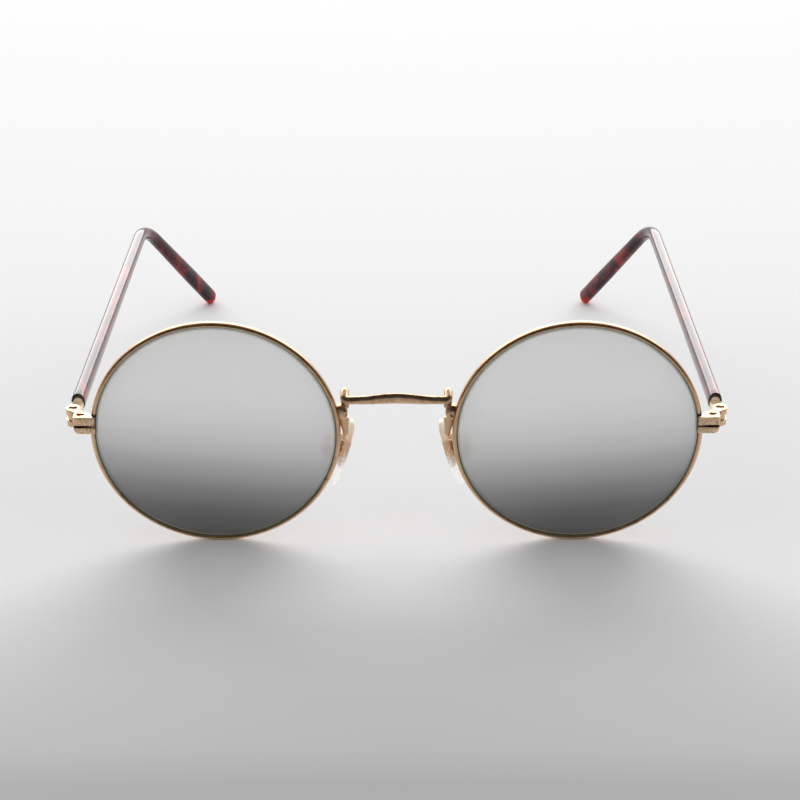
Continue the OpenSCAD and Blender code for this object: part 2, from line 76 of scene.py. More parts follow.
def worn(points):
    """Turns the temple's own frame down by SLOPE and moves it to the hinge screw."""
    x, y, z = np.moveaxis(np.asarray(points, float), -1, 0)
    c, s = math.cos(SLOPE), math.sin(SLOPE)
    return np.stack([x, y * c + z * s, z * c - y * s], -1) + HINGE


# %% [markdown]
# ## A mesh from rows of rings
# Almost every piece here is a skin over a row of closed rings: a wire, a bar, a sleeve, a pad,
# even a lens, whose rings are circles that grow and shrink. The rings are one numpy array, so
# the faces follow from the array's shape alone. The two ends are closed with a fan, and the
# sign of the volume says whether the faces look outwards, which a mirrored piece would not.


# %% Which way the faces look
def unit(v):
    """A vector divided by its length."""
    return v / np.linalg.norm(v, axis=-1, keepdims=True)


def outward(points, faces):
    """Sums the signed volumes of the cones from the origin; below zero, all faces are turned."""
    volume = 0.0
    for step in range(1, faces.shape[1] - 1):
        a, b, c = points[faces[:, 0]], points[faces[:, step]], points[faces[:, step + 1]]
        volume += np.einsum("ij,ij->i", a, np.cross(b, c)).sum()
    return volume


triangle = np.array([[0, 1, 2]])
print("x, y, z counterclockwise:", outward(np.eye(3), triangle))
print("and clockwise:", outward(np.eye(3), triangle[:, ::-1]))


# %% Faces and UVs of a skin
def faces_of(rows, count):
    """Row i, point k is joined to row i + 1, point k + 1, and a fan closes each end round its
    middle. The two middles come after all the rings' points."""
    i, k = np.arange(rows - 1)[:, None] * count, np.arange(count)[None, :]
    turn = (k + 1) % count
    quads = np.stack([i + k, i + turn, i + count + turn, i + count + k], -1).reshape(-1, 4)
    k, turn, last = k[0], turn[0], (rows - 1) * count
    first_fan = np.stack([np.full(count, rows * count), turn, k], -1)
    last_fan = np.stack([np.full(count, rows * count + 1), last + k, last + turn], -1)
    return quads, np.vstack([first_fan, last_fan])


def uvs_of(along, count):
    """UV: x is what along gives for the row, y is the share of the way round."""
    i, k = np.arange(len(along) - 1)[:, None], np.arange(count)[None, :]
    u0, u1 = along[i] + 0 * k, along[i + 1] + 0 * k
    v0, v1 = k / count + 0 * i, (k + 1) / count + 0 * i
    quads = np.stack([u0, v0, u0, v1, u1, v1, u1, v0], -1).reshape(-1, 4, 2)
    ends = np.repeat([along[0], along[-1]], count * 3)
    fans = np.stack([ends, np.tile([0.5, 0.0, 1.0], 2 * count)], -1).reshape(-1, 3, 2)
    return quads, fans


print("a rod of two rings of three points:", [faces.tolist() for faces in faces_of(2, 3)])


# %% Skin over rings
def skin(name, rings, along=None, sharp=40.0):
    """A closed mesh over rings in metres. Without along, a row's u is its distance along the
    middle line in cm. Edges over sharp degrees stay sharp."""
    rows, count, _ = rings.shape
    middles = rings.mean(1)
    if along is None:
        steps = np.linalg.norm(np.diff(middles, axis=0), axis=1)
        along = np.concatenate([[0], np.cumsum(steps)]) * 100
    points = np.vstack([rings.reshape(-1, 3), middles[:1], middles[-1:]])
    arrays = [*faces_of(rows, count), *uvs_of(along, count)]
    if outward(points, arrays[0]) < 0:
        arrays = [a[:, ::-1] for a in arrays]
    quads, fans, quad_uvs, fan_uvs = arrays
    corners = np.concatenate([quads.ravel(), fans.ravel()])
    uv = np.concatenate([quad_uvs.ravel(), fan_uvs.ravel()])
    sizes = np.repeat([4, 3], [len(quads), len(fans)])
    mesh = bpy.data.meshes.new(name)
    mesh.vertices.add(len(points))
    mesh.vertices.foreach_set("co", points.astype(np.float32).ravel())
    mesh.loops.add(len(corners))
    mesh.loops.foreach_set("vertex_index", corners.astype(np.int32))
    mesh.polygons.add(len(sizes))
    mesh.polygons.foreach_set("loop_start", (np.cumsum(sizes) - sizes).astype(np.int32))
    mesh.uv_layers.new(name="UVMap").data.foreach_set("uv", uv.astype(np.float32))
    mesh.update(calc_edges=True)
    mesh.polygons.foreach_set("use_smooth", np.ones(len(sizes), bool))
    mesh.set_sharp_from_angle(angle=math.radians(sharp))
    return mesh


# %% A piece in the place of a CAD node
def place(mesh, body, finish, node):
    """Links a finished mesh as a piece, gives it its material, lets it ride on its body, and
    hides the CAD node it stands for."""
    piece = bpy.data.objects.new(mesh.name, mesh)
    bpy.context.scene.collection.objects.link(piece)
    piece.data.materials.append(finish)
    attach(piece, body)
    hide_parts(node)
    print(piece.name, "-", len(mesh.polygons), "faces on", body)


def of_side(body, word):
    """The front is one body; a name that ends in _ has a body on either side."""
    return body + word if body.endswith("_") else body


def pair(name, rings, body, finish, node, slot, **skin_settings):
    """The same skin on both sides, mirrored for the left one."""
    for word, side in SIDES.items():
        mesh = skin(name + word, stand(rings, side), **skin_settings)
        place(mesh, of_side(body, word), finish, node + word)


print("bodies:", [of_side("temple_", word) for word in SIDES], of_side("front", "right"))

# %% [markdown]
# ## Paths and sections
# A bent wire is drawn the way a maker bends it: straight runs with a radius at each corner.
# The section is carried along without twisting, by tilting the "up" arrow of each ring only as
# much as the path itself turns. A section from round to boxy is one formula: the powers of
# cosine and sine, where 1 is an ellipse and less than 1 squares the corners off.


# %% Bends
def corner(a, b, c, radius, count):
    """Points on the arc that touches b-a and b-c: the circle's middle lies on the bisector."""
    u, v = unit(a - b), unit(c - b)
    half = math.acos(float(u @ v)) / 2
    turn = math.pi - 2 * half
    middle = b + unit(u + v) * radius / math.sin(half)
    start = b + u * radius / math.tan(half) - middle
    stop = b + v * radius / math.tan(half) - middle
    t = np.linspace(0, 1, count + 1)[:, None]
    return middle + (start * np.sin(turn * (1 - t)) + stop * np.sin(turn * t)) / math.sin(turn)


def rounded(points, radii, count):
    """A path through the corner points, each rounded by its own radius."""
    p = [np.asarray(q, float) for q in points]
    arcs = [corner(p[i], p[i + 1], p[i + 2], radii[i], count) for i in range(len(radii))]
    return np.vstack([p[:1], *arcs, p[-1:]])


print("a bend of 1 mm between two legs of 3 mm:")
print(rounded([[3, 0, 0], [0, 0, 0], [0, 3, 0]], [1], count=2).round(2).tolist())


# %% Sections
def headings(path):
    """At each point, the direction from the one before to the one after."""
    ahead = np.vstack([path[1:], path[-1:]])
    behind = np.vstack([path[:1], path[:-1]])
    return unit(ahead - behind)


def carried(direction, up):
    """The up arrow of each ring: the last one, made square to the new direction again."""
    arrows, arrow = [], np.asarray(up, float)
    for t in direction:
        arrow = unit(arrow - (arrow @ t) * t)
        arrows.append(arrow)
    return np.array(arrows)


def power(v, e):
    """Keeps the sign and raises the size to e, so that a circle turns into a soft box."""
    return np.sign(v) * np.abs(v) ** e


def sections(path, up, width, height, count, boxy=1.0):
    """Ring k round each point: across * cos(k) * width / 2 + up * sin(k) * height / 2."""
    direction = headings(path)
    arrows = carried(direction, up)
    across = np.cross(direction, arrows)
    a = np.linspace(0, 2 * math.pi, count, endpoint=False)
    w = np.broadcast_to(width, len(path))[:, None, None] / 2
    h = np.broadcast_to(height, len(path))[:, None, None] / 2
    c, s = power(np.cos(a), boxy)[None, :, None], power(np.sin(a), boxy)[None, :, None]
    return path[:, None, :] + across[:, None, :] * c * w + arrows[:, None, :] * s * h


def ease(t):
    """0 below 0, 1 above 1, and a smooth S between them."""
    t = np.clip(t, 0, 1)
    return t * t * (3 - 2 * t)


print("ease from 0 to 1 in quarters:", ease(np.linspace(0, 1, 5)).round(3))

# %% [markdown]
# ## Arithmetic on sockets
# A finish is a small calculation: how much tarnish, how deep a scratch. Written with nodes it
# is a long list of links. A small class wraps a socket, so that `1 - mask * 0.3` adds the Math
# nodes by itself, and one method, `add`, makes every other node.


# %% Sockets that can be added and multiplied
class Socket:
    """One output of a node; + - * / and abs() with it add a Math node."""

    def __init__(self, tree, node, output):
        self.tree, self.node, self.output = tree, node, output

    def __add__(self, other):
        return self.tree.maths("ADD", self, other)

    def __sub__(self, other):
        return self.tree.maths("SUBTRACT", self, other)

    def __mul__(self, other):
        return self.tree.maths("MULTIPLY", self, other)

    def __truediv__(self, other):
        return self.tree.maths("DIVIDE", self, other)

    def __rsub__(self, other):
        return self.tree.maths("SUBTRACT", other, self)

    def __rtruediv__(self, other):
        return self.tree.maths("DIVIDE", other, self)

    __radd__, __rmul__ = __add__, __mul__

    def __abs__(self):
        return self.tree.maths("ABSOLUTE", self)

    def step(self, low, high):
        """0 below low, 1 above high, smooth between; low may be the larger one."""
        turned = low > high
        return self.tree.blend(self, min(low, high), max(low, high), float(turned),
                               float(not turned))

    def between(self, rise, fall):
        """0, then 1 between the two steps, then 0 again."""
        return self.step(*rise) * self.step(*fall)


print("reflected forms:", [name for name in vars(Socket) if name.startswith("__r")])


# %% Node trees
class Tree:
    """The nodes of a material or of the world."""

    def __init__(self, owner):
        owner.use_nodes = True
        self.nodes, self.links = owner.node_tree.nodes, owner.node_tree.links
        self.nodes.clear()

    def add(self, kind, settings=None, inputs=None, output=0):
        """Makes a node, sets its settings first, then links or fills its sockets."""
        node = self.nodes.new(kind)
        for key, value in (settings or {}).items():
            if key == "stops":
                ramp = node.color_ramp
                while len(ramp.elements) < len(value):
                    ramp.elements.new(0.5)
                for element, (at, colour) in zip(ramp.elements, value):
                    element.position, element.color = at, (*colour, 1)
            else:
                setattr(node, key, value)
        for key, value in (inputs or {}).items():
            self.feed(node.inputs[key], value)
        return Socket(self, node, output)

    def feed(self, socket, value):
        """Links a socket to another, or fills it with a plain value."""
        if isinstance(value, Socket):
            self.links.new(value.node.outputs[value.output], socket)
        else:
            socket.default_value = value

    def maths(self, operation, *values):
        """A Math node on numbers or sockets, in their order."""
        return self.add("ShaderNodeMath", {"operation": operation}, dict(enumerate(values)))

    def axis(self, vector, name):
        """One of a vector's numbers: X, Y or Z."""
        return self.add("ShaderNodeSeparateXYZ", None, {0: vector}, name)

    def blend(self, number, low, high, before, after):
        """The value before below low, after above high, and a smooth S between."""
        ends = {1: low, 2: high, 3: before, 4: after}
        settings = {"interpolation_type": "SMOOTHSTEP"}
        return self.add("ShaderNodeMapRange", settings, {0: number, **ends})


print("calls of a tree:", [name for name in vars(Tree) if not name.startswith("_")])


# %% Finishes
class Finish(Tree):
    """A material with a Principled shader, whose constants are given by name."""

    def __init__(self, name, **constants):
        self.material = bpy.data.materials.new(name)
        super().__init__(self.material)
        values = {socket.replace("_", " "): value for socket, value in constants.items()}
        self.shader = self.add("ShaderNodeBsdfPrincipled", None, values)
        output = self.add("ShaderNodeOutputMaterial", None, {"Surface": self.shader})
        self.surface = output.node.inputs["Surface"]

    def set(self, socket, value):
        """Feeds one of the shader's own sockets."""
        self.feed(self.shader.node.inputs[socket], value)

    def position(self, scale=(1, 1, 1)):
        """The object's own coordinates in metres, stretched by scale."""
        here = self.add("ShaderNodeTexCoord", output="Object")
        return self.add("ShaderNodeMapping", None, {"Vector": here, "Scale": scale})

    def dot(self, vector, axis):
        """How far a vector reaches along an axis."""
        settings = {"operation": "DOT_PRODUCT"}
        return self.add("ShaderNodeVectorMath", settings, {0: vector, 1: axis}, "Value")

    def noise(self, vector, scale, detail, distortion=0.0):
        """Soft clouds from 0 to 1, mostly near 0.5, with scale of them in a metre."""
        values = {"Vector": vector, "Scale": scale, "Detail": detail, "Distortion": distortion}
        return self.add("ShaderNodeTexNoise", None, values)

    def ramp(self, number, *stops):
        """Colours by number: each stop is a number and its colour."""
        return self.add("ShaderNodeValToRGB", {"stops": stops}, {0: number})

    def greys(self, number, stops):
        """The same for stops that hold a single number each."""
        return self.ramp(number, *[(at, (value,) * 3) for at, value in stops])

    def mix(self, share, a, b):
        """Colour a where share is 0, colour b where it is 1."""
        a, b = (v if isinstance(v, Socket) else (*v, 1) for v in (a, b))
        return self.add("ShaderNodeMix", {"data_type": "RGBA"}, {0: share, 6: a, 7: b}, 2)

    def bump(self, height, distance, strength):
        """Pushes the surface's light by a height, whose full size is distance in metres."""
        values = {"Height": height, "Distance": distance, "Strength": strength}
        self.set("Normal", self.add("ShaderNodeBump", None, values))


def tone(*rgb):
    """A colour as read off a screen, 0 to 255, turned into the linear numbers of a shader."""
    v = np.array(rgb) / 255
    return tuple(float(c) for c in np.where(v < 0.04045, v / 12.92, ((v + 0.055) / 1.055) ** 2.4))


print("calls of a finish:", [name for name in vars(Finish) if not name.startswith("_")])
print("screen grey 188 returns", round(tone(188)[0], 3), "of the light")

# %% [markdown]
# ## Gold finish
# The front is gold-coloured wire that has dulled: satin rather than mirror, tan where it is
# handled, browner where tarnish has settled. A plain metal shader would look like a toy. Three
# noises at the real scale do it: patches of a few millimetres for tarnish, specks for grain,
# and long fine strokes for the wear. All read the object's own coordinates, so the pattern
# stays on the metal from every side.

# %% How the gold is mixed
# Specks in a metre, strokes in a metre along x, y and z, and how deep both are in metres
SPECKS, STROKES, RELIEF = 5200.0, (900.0, 9000.0, 900.0), 0.000012
# The brown of the painted reflection on the rim's outer front corner, and the dark of the flux
EDGE_REFLECTION, FLUX = tone(198, 138, 94), tone(58, 34, 20)
# The dark of a dirty seam, and the painted shade of a screw's slot
SEAM_DIRT, SLOT_SHADE = tone(52, 30, 18), tone(74, 40, 16)
# The outer front corner, browned by a painted reflection of the dark room, by the share of the
# way round the wire, and the wire's entry into the block in cm along it
WIRE_CORNER, WIRE_ENTRY = ((0.80, 0.86), (0.99, 0.93)), ((0.14, 0.18), (0.27, 0.22))
# Metres from clean to dirty beside a seam, and from bare to painted shade beside a slot's
# middle and below a screw head's top
BY_SEAM, BY_SLOT, IN_SLOT = (0.00038, 0.0002), (0.0005, 0.00038), (0.00005, 0.00016)


def gold(name, light, mid, dark, rough=0.3, grain=0.5, patch=420.0, reflection_edge_and_flux=False, seam=None,
         slot=None, rugged=0.5, stops=(0.3, 0.46, 0.66), metallic=1.0):
    """Mottle = patches * (1 - grain) + specks * grain, and its value picks dark, mid or light.
    The edge flag: a browner painted reflection of the dark room on the outer front corner, and
    dark flux where the wire enters the block, by UV.
    seam: an upright axis and the height along it of a dirty joint between two halves.
    slot: a screw's axis and the height of its head along it; below the head's top is painted
    shade, and some of it lies beside the slot, whose middle is at the depth that follows.
    stops: where on the mottle, which runs from 0 to 1 about 0.5, each of the three tones lies.
    rugged: how strongly the relief shows. metallic: less than 1 keeps pale metal from
    mirroring the dark room."""
    f = Finish(name, Metallic=metallic, IOR=1.6)
    here = f.position()
    patches = f.noise(here, patch, detail=3.0, distortion=0.6)
    specks = f.noise(here, SPECKS, detail=2.0)
    strokes = f.noise(f.position(STROKES), 1.0, detail=2.0)
    mottle = patches * (1 - grain) + specks * grain
    colour = f.ramp(mottle, *zip(stops, (dark, mid, light)))
    if reflection_edge_and_flux:
        uv = f.add("ShaderNodeTexCoord", output="UV")
        round_wire, along = f.axis(uv, "Y"), f.axis(uv, "X")
        edge, entry = round_wire.between(*WIRE_CORNER), along.between(*WIRE_ENTRY)
        # Painted reflection: the outer front corner is browned as if it mirrored the dark room
        colour = f.mix(entry * 0.9, f.mix(edge * 0.75, colour, EDGE_REFLECTION), FLUX)
    if seam:
        axis, height = seam
        off = abs(f.dot(here, axis) - height)
        colour = f.mix(off.step(*BY_SEAM) * (0.6 + patches * 0.8), colour, SEAM_DIRT)
    if slot:
        axis, top, middle = slot
        along = f.dot(here, axis)
        slot_shade_beside = abs(f.axis(here, "Y") - middle).step(*BY_SLOT) * mottle.step(0.46, 0.49)
        deep = along.step(*(top - depth for depth in IN_SLOT))
        # Painted shade: dark in the slot below the head's top, and in patches beside the slot
        colour = f.mix(1 - (1 - slot_shade_beside) * (1 - deep), colour, SLOT_SHADE)
    f.set("Base Color", colour)
    # Both noises lie about 0.5, so the mean of the roughness is rough
    f.set("Roughness", patches * 0.16 + strokes * 0.1 + (rough - 0.13))
    f.bump(specks * 0.7 + strokes * 0.3, RELIEF, rugged)
    return f.material


print("one speck of grain is", round(1000 / SPECKS, 2), "mm wide")


# %% Where the seam and the slots are
def upright(point, slope=0.0):
    """The upright axis after the tilt, turned back by slope, and the point's height along it."""
    turn = TILT - slope
    axis = (0.0, -math.sin(turn), math.cos(turn))
    return axis, float(np.dot(axis, point))


def head_of(point, slope=0.0):
    """A screw's axis, its head's height along it, and the depth of its slot."""
    return *upright(point, slope), float(point[1])


# The cut's height, and the middle of each screw head's top
SPLIT_Z = 2.275
LOCK_TOP, HINGE_TOP = stand([63.0047, 0.95, 4.35]), stand(worn([0, 0, 1.85]))
print("cut through the block at", round(upright(stand([63, 1, SPLIT_Z]))[1] * 1000, 2), "mm")

# %% Gold wire, solder and screws
TAN, PALE, BROWN = tone(220, 184, 146), tone(232, 204, 172), tone(172, 128, 92)
# The screw heads run mostly to dark brown, which is partly painted shade of their slots
HEAD = tone(248, 230, 196), tone(112, 70, 34), tone(48, 26, 12)
GOLD = gold("gold_wire", PALE, TAN, BROWN)
BAR_GOLD = gold("gold_bar", tone(220, 190, 158), tone(198, 164, 130), tone(128, 92, 64),
                grain=0.35, patch=700.0)
PLATE_GOLD = gold("gold_plate", tone(196, 156, 122), tone(150, 112, 84), tone(62, 42, 30),
                  rough=0.45, patch=1500.0)
RIM_GOLD = gold("gold_rim", PALE, TAN, BROWN, reflection_edge_and_flux=True)
# Painted light: the temple's core and butt are the same gold, made paler and less metallic so they
# look lit in the sleeve's mouth and on the butt
LIT_CORE_GOLD = gold("gold_core_painted_light", tone(250, 236, 212), tone(244, 224, 194), PALE, rough=0.5,
                 metallic=0.15)
LIT_BUTT_GOLD = gold("gold_butt_painted_light", tone(250, 232, 204), tone(240, 214, 178), PALE, rough=0.4,
                 metallic=0.25)
BLOCK_GOLD = gold("gold_block", tone(242, 216, 186), tone(226, 192, 156), tone(168, 124, 88),
                  rough=0.34, grain=0.7, patch=700.0, seam=upright(stand([63, 1, SPLIT_Z])),
                  rugged=1.0, stops=(0.41, 0.48, 0.57))
SOLDER = gold("gold_solder", tone(238, 212, 178), tone(206, 170, 136), tone(58, 38, 26),
              rough=0.42, grain=0.2, patch=1900.0, rugged=1.0, stops=(0.36, 0.46, 0.6))
BRIGHT = gold("gold_screw", tone(242, 218, 178), tone(222, 190, 146), tone(170, 126, 80),
              rough=0.24, grain=0.4)
LOCK_HEAD = gold("gold_lock_screw", *HEAD, rough=0.24, grain=0.2, patch=1500.0,
                 slot=head_of(LOCK_TOP))
HINGE_HEAD = gold("gold_hinge_screw", *HEAD, rough=0.24, grain=0.2, patch=1500.0,
                  slot=head_of(HINGE_TOP, SLOPE))
print("metals:", GOLD.name, RIM_GOLD.name, BLOCK_GOLD.name, SOLDER.name, BRIGHT.name)

# %% [markdown]
# ## Rims
# Each rim is a bar of wire bent into a ring and cut at the temple side, where the closing block
# holds it together. Its section is deeper than wide, with soft corners, so the light slides
# over the top as a bright line with a dark one below. A torus primitive would be round and
# closed. Here a soft box is turned round the lens's axis from one side of the cut to the other.

# %% Rims
# In mm: the lens's radius, the wire's width and depth, and 1 for an oval or less for a box;
# then the gap between the rims and the width of the cut
LENS_R, WIRE_W, WIRE_D, WIRE_BOXY = 24.0, 1.0, 1.8, 0.95
RIM_GAP, SPLIT = 22.3, 0.35
RIM_X = RIM_GAP / 2 + LENS_R + WIRE_W


def rim_rings(rows=360, count=48):
    """Radius = middle + w/2 cos(k)^e, depth = middle + d/2 sin(k)^e, turned by the row's angle."""
    middle = LENS_R + WIRE_W / 2
    cut = math.asin(SPLIT_Z / middle)
    half = SPLIT / 2 / middle
    a = np.linspace(cut + half, cut + 2 * math.pi - half, rows)[:, None]
    k = np.linspace(0, 2 * math.pi, count, endpoint=False)[None, :]
    r = middle + WIRE_W / 2 * power(np.cos(k), WIRE_BOXY)
    y = WIRE_D / 2 + WIRE_D / 2 * power(np.sin(k), WIRE_BOXY)
    return np.stack([RIM_X + r * np.cos(a), y + 0 * a, r * np.sin(a)], -1)


pair("rim_wire_", rim_rings(), "front", RIM_GOLD, "eyewire_", "gold_wire")

# %% [markdown]
# ## Lenses
# The lenses are slightly domed shells of tinted glass. The tint is light at the top and nearly
# opaque at the bottom. That is a property of the glass, so both how much passes and the colour
# that comes back follow the height on the lens. A ray crosses two faces of the shell, front and
# rear, so each face lets through the square root of what the whole lens does. The tint hangs a
# little lower on the nose's side, as in the photograph. The cut edge shows green.

# %% Lens finish
# From 0 at the foot of the lens to 1 at its top: the grey that comes back from the glass, and
# how much of the light one face of it holds back
GREY = [(0.03, 0.123), (0.09, 0.13), (0.145, 0.16), (0.2, 0.232), (0.26, 0.316), (0.315, 0.445),
        (0.375, 0.557), (0.43, 0.725), (0.52, 0.855), (0.585, 0.905), (0.70, 0.90), (0.87, 0.88)]
HELD = [(0.03, 0.84), (0.09, 0.82), (0.145, 0.80), (0.2, 0.78), (0.26, 0.745), (0.315, 0.72),
        (0.43, 0.72), (0.52, 0.70), (0.585, 0.64), (0.70, 0.52), (0.87, 0.452)]
LENS_C, GLASS_R = stand([RIM_X, WIRE_D / 2, 0.0]), LENS_R / 1000
# How much the tint shifts for a metre outwards, and how uneven it is
HANG, CLOUD = 2.0, 0.01
# Metres from the lens's middle: the pale ring inside the edge, the green depth, the cut edge
PALE_RING, GREEN_RING, CUT_EDGE = (0.0234, 0.0237), (0.02384, 0.02393), (0.0233, 0.0238)


def lens_finish():
    """Share = height on the lens, less HANG times the distance outwards; it picks the grey and
    the alpha, and the distance from the middle adds the rings."""
    f = Finish("graded_lens", Roughness=0.07, IOR=1.5)
    here = f.position()
    across = abs(f.axis(here, "X")) - float(LENS_C[0])
    height = f.axis(here, "Z") - float(LENS_C[2])
    away = f.maths("SQRT", across * across + height * height)
    cloud = f.noise(here, 60.0, detail=2.0)
    share = (height + GLASS_R) / (2 * GLASS_R) - across * HANG + (cloud - 0.5) * CLOUD
    graded = f.mix(away.step(*PALE_RING) * 0.3, f.greys(share, GREY), tone(170, 196, 184))
    deep = away.step(*GREEN_RING) * (1 - share * 0.5)
    f.set("Base Color", f.mix(deep, graded, tone(112, 138, 128)))
    f.set("Alpha", f.maths("MAXIMUM", f.greys(share, HELD), away.step(*CUT_EDGE)))
    return f.material


LENS = lens_finish()
print("lens middle:", LENS_C.round(5))

# %% Lenses
# In mm: the radius of the front dome, the thickness, and the play between glass and rim
CURVE, LENS_T, LENS_PLAY = 150.0, 1.6, 0.02
# The rim of the glass, past its radius and in depth: over the bevel that sits in the groove
BEVEL = np.array([[-0.06, 0.4], [0, 0.46], [0.35, 0.9], [0, 1.34], [-0.02, 1.55]])


def lens_rings(count=144):
    """Out along the front dome, over the bevel in the groove, and back along the rear dome:
    depth = middle of the sphere - sqrt(R^2 - r^2), with R smaller by the thickness behind."""
    edge = LENS_R - LENS_PLAY
    middle = WIRE_D / 2 - LENS_T / 2 + math.sqrt(CURVE**2 - LENS_R**2)
    # The first ring is small, for the fan to close, and the last lies just inside the cut edge
    r = np.concatenate([[0.4], np.linspace(1.5, edge - 0.45, 26)])
    front = np.stack([r, middle - np.sqrt(CURVE**2 - r**2)], -1)
    back = np.stack([r, middle - np.sqrt((CURVE - LENS_T) ** 2 - r**2)], -1)
    profile = np.vstack([front, BEVEL + (edge, 0), back[::-1]])
    r, y = profile[:, :1], profile[:, 1:]
    a = np.linspace(0, 2 * math.pi, count, endpoint=False)[None, :]
    return np.stack([RIM_X + r * np.cos(a), y + 0 * a, r * np.sin(a)], -1)


rings = lens_rings()
pair("lens_glass_", rings, "front", LENS, "lens_", "lens", along=np.linspace(0, 5, len(rings)),
     sharp=20)

# %% [markdown]
# ## Bridge
# The bridge is one bar that stands in front of the rims, swells in the middle, and at each end
# turns back and then down onto its foot. A curve with a round bevel could draw it, but not the
# change from a tall oval to a leg that is nearly round. So it is the path of a bent wire with
# two bends at each end, and the section follows the distance from the middle.

# %% Bridge
# In mm. The bar: how high it lies, how far it stands out, half the rise of its bow, and its
# bends; then its thickness, its height and what swells each. The foot that holds the leg: its
# top, side, front and depth, and the play of a seat. The leg: how deep it sits in the foot,
# and how far it rises above the bar's middle line. The bow begins at FLAT_X, its points at BOW_X
BAR_Z, BAR_OUT, BAR_ARCH, BAR_BENDS = 8.5, 0.8, 0.2, (0.75, 0.9)
BAR_T, LEG_SWELL, BAR_H, BAR_SWELL = 1.5, 0.2, 1.6, 0.95
FOOT_TOP, FOOT_X, FOOT_Y, FOOT_DEEP, SEAT = 6.2, 9.531, 0.35, 2.6, 0.02
LEG_X, LEG_Y = FOOT_X + BAR_T / 2, FOOT_Y + FOOT_DEEP - BAR_T / 2 - SEAT
LEG_SUNK, LEG_RISE = 0.8, 0.9
FLAT_X, BOW_X = LEG_X * 0.72, LEG_X * 0.62


def bridge_rings():
    """The half path is mirrored, and the bow between is z + arch (1 + cos(pi x / flat)).
    Height = bar + swelling * ease(1 - |x| / leg), and thickness = bar + swelling *
    ease(5 |x| / leg - 4), so that only the legs are thicker."""
    half = rounded([[LEG_X, LEG_Y, FOOT_TOP - LEG_SUNK], [LEG_X, LEG_Y, BAR_Z + LEG_RISE],
                    [LEG_X, -BAR_OUT, BAR_Z], [FLAT_X, -BAR_OUT, BAR_Z]], BAR_BENDS, count=14)
    x = -BOW_X * np.linspace(-1, 1, 49)
    bow = BAR_Z + BAR_ARCH * (1 + np.cos(math.pi * x / FLAT_X))
    arch = np.stack([x, np.full_like(x, -BAR_OUT), bow], -1)
    path = np.vstack([half, arch, half[::-1] * (-1, 1, 1)])
    away = np.abs(path[:, 0]) / LEG_X
    height = BAR_H + BAR_SWELL * ease(1 - away)
    thick = BAR_T + LEG_SWELL * ease(5 * away - 4)
    return sections(path, [1, 0, 0], height, thick, count=48)


place(skin("bridge_bar", stand(bridge_rings())), "front", BAR_GOLD, "bridge")

# %% [markdown]
# ## Temples
# A thin metal bar runs inside each temple, and the tortoise sleeve is slid over it, with the bar
# showing in the mouth of the sleeve. The sleeve is flat-sided, runs back straight, and bends
# down and inwards over the ear to a slightly wider tip. A solid bar would close the mouth, so
# the skin starts deep in the bore, turns over a rounded lip and runs along the outside.

# %% Tortoise finish
# Clouds and flecks in a metre along x, y and z; the red tip, painted light shining through the
# thin end, by its height in metres; the mouth's painted shade and the matt ear piece in cm
# along the sleeve
CLOUDS, FLECKS = (300.0, 120.0, 160.0), (1100.0, 420.0, 700.0)
LIT_RED_TIP, SHADED_MOUTH, MATT_EAR = (0.0021, 0.0009), (0.03, 0.012), (8.2, 9.2)


def tortoise():
    """Glow = clouds * 0.8 + flecks * 0.2, from black brown to amber red under a clear coat."""
    f = Finish("tortoise", IOR=1.5, Coat_Roughness=0.05, Coat_IOR=1.6,
               Coat_Tint=(1.0, 0.94, 0.93, 1.0), Specular_IOR_Level=0.15)
    here = f.position()
    uv = f.add("ShaderNodeTexCoord", output="UV")
    along = f.axis(uv, "X")
    clouds = f.noise(f.position(CLOUDS), 1.0, detail=2.0, distortion=0.6)
    flecks = f.noise(f.position(FLECKS), 1.0, detail=3.0, distortion=0.4)
    glow = clouds * 0.8 + flecks * 0.2
    colour = f.ramp(glow, (0.38, tone(38, 19, 27)), (0.47, tone(66, 25, 32)),
                    (0.57, tone(120, 32, 34)), (0.68, tone(158, 46, 42)), (0.78, tone(172, 60, 50)))
    # Painted light: the tip's red is brightened for light shining through the thin end
    colour = f.mix(f.axis(here, "Z").step(*LIT_RED_TIP), colour, tone(206, 44, 30))
    # Painted shade: near black over the bore and the lip of the sleeve's mouth
    f.set("Base Color", f.mix(along.step(*SHADED_MOUTH), colour, tone(26, 8, 7)))
    f.set("Roughness", flecks * 0.1 + 0.14)
    f.set("Coat Weight", 0.92 - along.step(*MATT_EAR) * 0.86)
    f.bump(flecks, distance=0.00001, strength=0.3)
    return f.material


TORTOISE = tortoise()
print("one cloud is", [round(1000 / n, 1) for n in CLOUDS], "mm long in x, y and z")

# %% Sleeves
# In mm and radians. The whole temple, and where the sleeve starts behind the hinge; its bends
# and round tip; the sleeve's section at the hinge, in the bend and at the tip; the bore and
# its lip
TEMPLE_L, SLEEVE_X, SLEEVE_AT = 141.0, -0.1, 5.6
TEMPLE_IN, EAR_IN, EAR_DROP = math.radians(1.9), math.radians(23), math.radians(46.5)
EAR_L, BEND_R, CAP, TIP_SHY = 45.0, 16.0, 1.8, 0.03
CAP_TURN = np.radians(np.linspace(8, 88, 14))  # one angle for each ring of the round tip
STRAIGHT = TEMPLE_L - EAR_L - SLEEVE_AT
SLEEVE_W, SLEEVE_H, SLIMMER, TIP_SWELL, SLEEVE_BOXY = 2.8, 3.9, 1.0, 0.95, 0.9
BORE_W, BORE_H, BORE_RINGS, LIP, LIP_RINGS = 1.94, 2.24, 8, 0.2, 13


